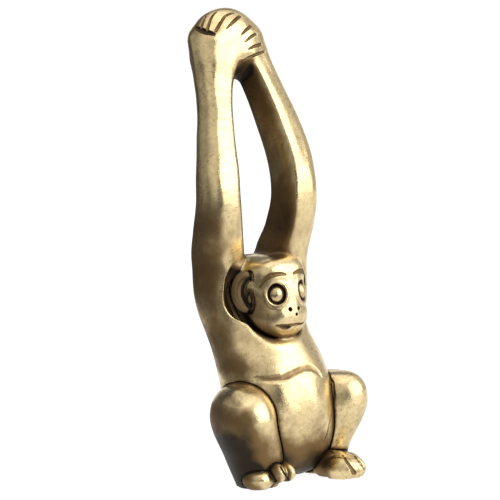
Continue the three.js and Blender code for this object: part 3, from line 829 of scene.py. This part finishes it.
def patina_and_painted_shade(P, n):
    """How dark the skin is at its points P with normals n: patina in its seams and hollows, and painted
    shade.
    """
    own = in_chunks(labels, P)
    to_right, facing = ACROSS @ n, TOWARDS @ n
    limbs = np.isin(own, ("right_arm", "left_arm", "chest"))
    head, belly = own == "head", own == "belly"

    def rising(low, high):
        """0 below the first height and 1 above the second."""
        return ease(P[2], low, high)

    def falling(high, low):
        """0 above the first height and 1 below the second."""
        return ease(-P[2], -high, -low)

    def shaded(start, end):
        """How far the skin faces away from the light, to the photograph's left."""
        return ease(-to_right, start, end)

    share = np.where(np.char.endswith(own, "_eye"), 0.45, 0.9)
    share = np.where(head, 0.7, np.where(own == "left_foot", 0.3, share))
    darkening = share * closed_in(P, n)
    # Painted shade inside the loop of the arms, and under its arch
    darkening += 0.42 * limbs * ease(-n[0] * np.sign(P[0]), 0.3, 0.7) * rising(28, 31.5) * falling(54, 52)
    darkening += 0.5 * limbs * ease(-n[2], 0.0, 0.35) * rising(44, 48) * falling(54, 52)
    # Painted shade on the lower arms and on the chest's right side, where they face away from the key light;
    # darker also on the chest just above the waist fold
    darkening += 0.3 * limbs * shaded(-0.6, 0.35) * rising(21, 28) * falling(39.5, 32)
    darkening += 0.2 * limbs * rising(24, 28) * falling(37, 32)
    darkening += 0.48 * limbs * shaded(-0.3, 0.7) * rising(12.5, 15) * falling(31, 23)
    darkening += 0.25 * (own == "chest") * falling(17.0, 13.5) * ease(facing, -0.1, 0.5)
    # Ears darker all over; painted shade on the cheek that faces away from the key light, and a little darker
    # low on the jaw
    below = HEAD[2] - P[2]
    darkening += 0.55 * np.char.endswith(own, "_ear")
    darkening += 0.4 * head * shaded(-0.4, 0.4) * ease(below, -2.0, 0.8) + 0.04 * head * ease(below, 1.2, 3.5)
    # Painted shade on the right thigh and shin: on undersides, on the side away from the key light and
    # towards the bottom
    right_leg = (own == "right_leg") * ease(facing, -0.75, 0.05)
    thigh = right_leg * falling(13.2, 9.0) * ease(-n[2], -0.85, -0.3)
    darkening += thigh * (0.62 * shaded(-0.6, 0.3) + 0.5 * shaded(-0.1, 1.0) * falling(9.5, 1.5))
    darkening += right_leg * (0.3 * falling(9.5, 6.0) + 0.6 * falling(3.9, 2.6) * shaded(-0.6, 0.0))
    # Feet: painted shade on the right foot's side away from the key light; the left foot darker on its part
    # towards the middle of the figure
    darkening += (own == "right_foot") * (0.45 * shaded(-0.35, 0.15) + 0.35 * shaded(0.2, 0.8))
    darkening += 0.5 * (own == "left_foot") * ease(-(ACROSS @ P), -8.0, -6.3)
    # Painted shade on the belly: darker towards the bottom, on the side away from the key light and along the
    # left leg
    darkening += belly * (0.24 * falling(11.5, 8.0) + 0.45 * falling(7.5, 2.5) + 0.1 * shaded(-0.3, 0.4))
    left_leg = in_chunks(lambda Q: leg(Q, LEFT), P)
    darkening += 0.35 * belly * ease(-left_leg, -1.6, -0.3) * falling(10.0, 7.0)
    # Painted highlight: a spot on the right knee with the darkening taken off, so it shows lighter
    knee, _ = trace([PAINTED_KNEE_HIGHLIGHT])
    offset = P - knee
    spot = np.hypot(ACROSS @ offset / PAINTED_KNEE_HIGHLIGHT_HALF[0], offset[2] / PAINTED_KNEE_HIGHLIGHT_HALF[1])
    spot = spot + 0.22 * np.sin(3.1 * P[0] + 1) * np.sin(2.7 * P[2])
    darkening -= 0.7 * (own == "right_leg") * ease(-spot, -1.15, -0.8)
    return darkening + in_chunks(darkness, P)


SKIN, QUADS = surface(field_grid())
NORMALS = in_chunks(lambda Q: slope(casting, Q), SKIN)
STEEPNESS = np.linalg.norm(NORMALS, axis=0)
MISS = np.clip(in_chunks(casting, SKIN), -0.5 * CELL, 0.5 * CELL)
SKIN = SKIN - NORMALS / np.maximum(STEEPNESS, 0.3) ** 2 * MISS
NORMALS = NORMALS / np.maximum(STEEPNESS, 1e-6)
PATINA_AND_SHADE = patina_and_painted_shade(SKIN, NORMALS)
NODE_OF = in_chunks(labels, SKIN[:, QUADS].mean(2))


def open_rims(faces, count):
    """The edges that only one face has, as lists of (start, end), one list for each rim."""
    edges = np.stack([faces, np.roll(faces, -1, axis=1)], -1).reshape(-1, 2)
    key = edges.min(1).astype(np.int64) * count + edges.max(1)
    _, first, times = np.unique(key, return_index=True, return_counts=True)
    rim = edges[first[times == 1]].tolist()
    parent = {corner: corner for edge in rim for corner in edge}

    def root(corner):
        while parent[corner] != corner:
            parent[corner] = parent[parent[corner]]
            corner = parent[corner]
        return corner

    for a, b in rim:
        parent[root(a)] = root(b)
    groups = {}
    for a, b in rim:
        groups.setdefault(root(a), []).append((a, b))
    return list(groups.values())


def piece(name, material):
    """The quads of one node as a closed mesh. The cuts inside the casting are closed by fans."""
    used, faces = np.unique(QUADS[NODE_OF == name], return_inverse=True)
    faces = faces.reshape(-1, 4)
    co = SKIN[:, used].T
    hubs, fans = [], []
    for rim in open_rims(faces, len(used)):
        hub = len(used) + len(hubs)
        hubs.append(np.mean([co[a] for a, _ in rim], axis=0))
        fans += [(b, a, hub) for a, b in rim]
    co = np.vstack([co] + ([np.array(hubs)] if hubs else []))
    normals = np.vstack([NORMALS[:, used].T, np.tile((0.0, 0.0, 1.0), (len(hubs), 1))])
    mesh = bpy.data.meshes.new(name + "_skin")
    loops = np.concatenate([faces.ravel(), np.array(fans, int).ravel()])
    starts = np.concatenate([np.arange(len(faces)) * 4, len(faces) * 4 + np.arange(len(fans)) * 3])
    mesh.vertices.add(len(co))
    mesh.vertices.foreach_set("co", ((co + PLACE) / 1000).ravel())
    mesh.loops.add(len(loops))
    mesh.loops.foreach_set("vertex_index", loops.astype(np.int32))
    mesh.polygons.add(len(starts))
    mesh.polygons.foreach_set("loop_start", starts.astype(np.int32))
    mesh.update(calc_edges=True)
    mesh.validate()
    mesh.shade_smooth()
    # The attribute holds patina and painted shade
    attribute = mesh.attributes.new("shade_and_patina", "FLOAT", "POINT")
    attribute.data.foreach_set("value", np.append(PATINA_AND_SHADE[used], np.ones(len(hubs))).astype(np.float32))
    mesh.normals_split_custom_set_from_vertices(normals.tolist())
    obj = bpy.data.objects.new(name + "_cast", mesh)
    bpy.context.scene.collection.objects.link(obj)
    mesh.materials.append(material)
    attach(obj, "root")
    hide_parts(name)
    return obj


# Materials

# Black for the deepest patina and painted shade
BLACK_PATINA_AND_SHADE = (0.034, 0.026, 0.018)


def brass(name, polished, tarnish_and_shade, roughness):
    """Antiqued brass, darkened by the skin's attribute of patina and painted shade, and by blotches, with
    specks and pits.
    """
    material = bpy.data.materials.new(name)
    material.use_nodes = True
    tree = material.node_tree
    shader = tree.nodes["Principled BSDF"]
    shader.inputs["Metallic"].default_value = 1.0

    def node(kind, **values):
        made = tree.nodes.new(kind)
        for key, value in values.items():
            if key in made.inputs:
                made.inputs[key].default_value = value
            else:
                setattr(made, key, value)
        return made

    link = tree.links.new
    place = node("ShaderNodeTexCoord").outputs["Object"]

    def noise(scale, detail=3.0, rough=0.55):
        made = node("ShaderNodeTexNoise", Scale=scale, Detail=detail, Roughness=rough)
        link(place, made.inputs["Vector"])
        return made.outputs["Fac"]

    def ramp(value, low, high, to_low=0.0, to_high=1.0):
        made = node("ShaderNodeMapRange", interpolation_type="SMOOTHSTEP")
        link(value, made.inputs["Value"])
        for key, number in (("From Min", low), ("From Max", high), ("To Min", to_low), ("To Max", to_high)):
            made.inputs[key].default_value = number
        return made.outputs["Result"]

    def math_node(operation, a, b):
        made = node("ShaderNodeMath", operation=operation)
        for end, value in zip(made.inputs, (a, b)):
            if isinstance(value, float):
                end.default_value = value
            else:
                link(value, end)
        return made.outputs["Value"]

    def add(a, b):
        return math_node("ADD", a, b)

    def subtract(a, b):
        return math_node("SUBTRACT", a, b)

    def times(a, b):
        return math_node("MULTIPLY", a, b)

    def blend(factor, a, b):
        made = node("ShaderNodeMix", data_type="RGBA")
        link(factor, made.inputs[0])
        for end, value in ((made.inputs[6], a), (made.inputs[7], b)):
            if isinstance(value, tuple):
                end.default_value = (*value, 1.0)
            else:
                link(value, end)
        return made.outputs[2]

    shade_and_patina = node("ShaderNodeAttribute", attribute_name="shade_and_patina").outputs["Fac"]
    blotch = noise(420.0, 4.0)
    cloud = add(times(blotch, 0.45), times(noise(190.0, 3.0), 0.4))
    shade_patina_and_mottling = add(shade_and_patina, subtract(cloud, 0.425))
    speck = times(ramp(noise(2600.0, 2.0), 0.54, 0.68), ramp(noise(260.0, 2.0), 0.45, 0.62))
    tone = blend(ramp(blotch, 0.35, 0.7), polished, tuple(channel * 0.86 for channel in polished))
    tone = blend(times(ramp(noise(1700.0, 3.0), 0.4, 0.68), 0.2), tone, tarnish_and_shade)
    tone = blend(times(speck, 0.55), tone, tarnish_and_shade)
    # Patina and painted shade from the attribute take the colour to the tarnish colour, then to black
    colour = blend(ramp(shade_patina_and_mottling, 0.15, 0.65), tone, tarnish_and_shade)
    colour = blend(ramp(shade_patina_and_mottling, 0.65, 1.2), colour, BLACK_PATINA_AND_SHADE)
    link(colour, shader.inputs["Base Color"])
    rough = ramp(blotch, 0.3, 0.75, roughness - 0.04, roughness + 0.07)
    link(add(rough, ramp(shade_patina_and_mottling, 0.2, 0.7, 0.0, 0.28)), shader.inputs["Roughness"])
    pits = node("ShaderNodeTexVoronoi", Scale=900.0, feature="F1")
    link(place, pits.inputs["Vector"])
    pit = ramp(pits.outputs["Distance"], 0.05, 0.16, 1.0, 0.0)
    height = subtract(times(noise(5200.0, 2.0), 0.6), times(pit, 0.5))
    height = subtract(add(height, times(noise(1300.0, 3.0), 2.2)), times(speck, 0.5))
    bump = node("ShaderNodeBump", Strength=0.4, Distance=0.00003)
    link(height, bump.inputs["Height"])
    link(bump.outputs["Normal"], shader.inputs["Normal"])
    return material


POLISHED = brass("polished_brass", (0.76, 0.605, 0.335), (0.2, 0.128, 0.056), 0.26)
DARK = brass("dark_brass", (0.64, 0.5, 0.28), (0.2, 0.135, 0.065), 0.3)

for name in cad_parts:
    if (NODE_OF == name).any():
        left_dark = name.endswith(("_ear", "_eye"))
        made = piece(name, DARK if left_dark else POLISHED)


# Stage, in metres: across and away as the photograph's camera sees it

PAPER = [(-0.052, -0.03), (-0.008, -0.042), (0.085, -0.2), (0.4, -0.2), (0.45, 1.6), (-0.19, 1.6)]
PAPER_COLOUR = (0.17, 0.17, 0.168)
PAPER_GLOW = 0.94
TABLE = [(-0.9, -0.8), (0.9, -0.8), (0.9, 1.59), (-0.9, 1.59)]
TABLE_COLOUR = (0.11, 0.11, 0.108)
TABLE_DEPTH = 0.0004
AWAY = -TOWARDS * np.array([1, 1, 0]) / np.linalg.norm(TOWARDS[:2])
AIM = Vector((0, 0, 0.025))


def on_stage(across, away, up):
    return tuple((ACROSS * across + AWAY * away) + np.array([0, 0, up]))


def sheet(name, outline, height, colour, glow=0.0):
    """A plain level sheet. With a glow it shows white to the camera and in reflections."""
    mesh = bpy.data.meshes.new(name)
    corners = [on_stage(across, away, height) for across, away in outline]
    mesh.from_pydata(corners, [], [tuple(range(len(corners)))])
    obj = bpy.data.objects.new(name, mesh)
    bpy.context.scene.collection.objects.link(obj)
    material = bpy.data.materials.new(name)
    material.use_nodes = True
    nodes, link = material.node_tree.nodes, material.node_tree.links.new
    shader = nodes["Principled BSDF"]
    shader.inputs["Base Color"].default_value = (*colour, 1)
    shader.inputs["Roughness"].default_value = 0.9
    shader.inputs["Specular IOR Level"].default_value = 0.0
    if glow:
        shader.inputs["Emission Color"].default_value = (1, 1, 1, 1)
        path = nodes.new("ShaderNodeLightPath")
        seen = path.outputs["Is Camera Ray"]
        for other in ("Is Glossy Ray", "Is Transmission Ray"):
            either = nodes.new("ShaderNodeMath")
            either.operation = "MAXIMUM"
            link(seen, either.inputs[0])
            link(path.outputs[other], either.inputs[1])
            seen = either.outputs[0]
        level = nodes.new("ShaderNodeMath")
        level.operation = "MULTIPLY"
        level.inputs[1].default_value = glow
        link(seen, level.inputs[0])
        link(level.outputs[0], shader.inputs["Emission Strength"])
    mesh.materials.append(material)


sheet("white_paper", PAPER, 0.0, PAPER_COLOUR, PAPER_GLOW)
sheet("grey_table", TABLE, -TABLE_DEPTH, TABLE_COLOUR)


def softbox(name, place, width, height, power):
    lamp = bpy.data.lights.new(name, "AREA")
    lamp.shape = "RECTANGLE"
    lamp.size, lamp.size_y = width, height
    lamp.energy = power
    obj = bpy.data.objects.new(name, lamp)
    bpy.context.scene.collection.objects.link(obj)
    obj.location = on_stage(*place)
    obj.rotation_euler = (AIM - obj.location).to_track_quat("-Z", "Y").to_euler()


softbox("key", (0.72, -0.34, 0.41), width=1.25, height=0.96, power=11.0)


def studio(base, lobes):
    """A dim room with soft bright walls. Each lobe is (across, away, up, edge, core, level)."""
    world = bpy.data.worlds.new("studio")
    world.use_nodes = True
    nodes, link = world.node_tree.nodes, world.node_tree.links.new
    place = nodes.new("ShaderNodeTexCoord")
    total = None
    for across, away, up, edge, core, level in lobes:
        direction = Vector(on_stage(across, away, up)).normalized()
        dot = nodes.new("ShaderNodeVectorMath")
        dot.operation = "DOT_PRODUCT"
        dot.inputs[1].default_value = direction
        link(place.outputs["Generated"], dot.inputs[0])
        wall = nodes.new("ShaderNodeMapRange")
        wall.interpolation_type = "SMOOTHSTEP"
        ends = (math.cos(math.radians(edge)), math.cos(math.radians(core)))
        for key, value in (("From Min", ends[0]), ("From Max", ends[1]), ("To Min", 0.0), ("To Max", level)):
            wall.inputs[key].default_value = value
        link(dot.outputs["Value"], wall.inputs["Value"])
        add = nodes.new("ShaderNodeMath")
        add.operation = "ADD"
        add.inputs[0].default_value = base
        link(wall.outputs["Result"], add.inputs[1])
        if total:
            link(total, add.inputs[0])
        total = add.outputs[0]
    link(total, nodes["Background"].inputs["Strength"])
    nodes["Background"].inputs["Color"].default_value = (1, 0.98, 0.95, 1)
    bpy.context.scene.world = world


studio(
    0.07,
    [
        (0, 1, -0.05, 34, 20, 1.0),
        (-0.5, -1, 0.75, 45, 20, 0.8),
        (0.1, 0.1, 1, 48, 20, 1.5),
        (-1, 0.05, 0.4, 36, 14, 0.36),
        (1, 0.9, 0.35, 40, 18, 0.55),
    ],
)

# Camera

SENSOR_WIDTH = 36
camera_data = bpy.data.cameras.new("camera")
camera_data.sensor_width = SENSOR_WIDTH
camera_data.lens = SENSOR_WIDTH * PIXELS_PER_MM * DISTANCE / IMAGE_SIZE
camera_data.clip_start, camera_data.clip_end = 0.01, 10
camera_data.shift_x = (IMAGE_SIZE / 2 - LOOK_PIXEL[0]) / IMAGE_SIZE
camera_data.shift_y = (LOOK_PIXEL[1] - IMAGE_SIZE / 2) / IMAGE_SIZE
camera = bpy.data.objects.new("camera", camera_data)
bpy.context.scene.collection.objects.link(camera)
c, s = math.cos(ROLL), math.sin(ROLL)
axes = np.stack([c * ACROSS - s * UPWARDS, c * UPWARDS + s * ACROSS, TOWARDS], 1)
camera.matrix_world = Matrix.Translation(Vector((EYE_POINT + PLACE) / 1000)) @ Matrix(axes.tolist()).to_4x4()
bpy.context.scene.camera = camera
bpy.context.scene.view_settings.view_transform = "Standard"
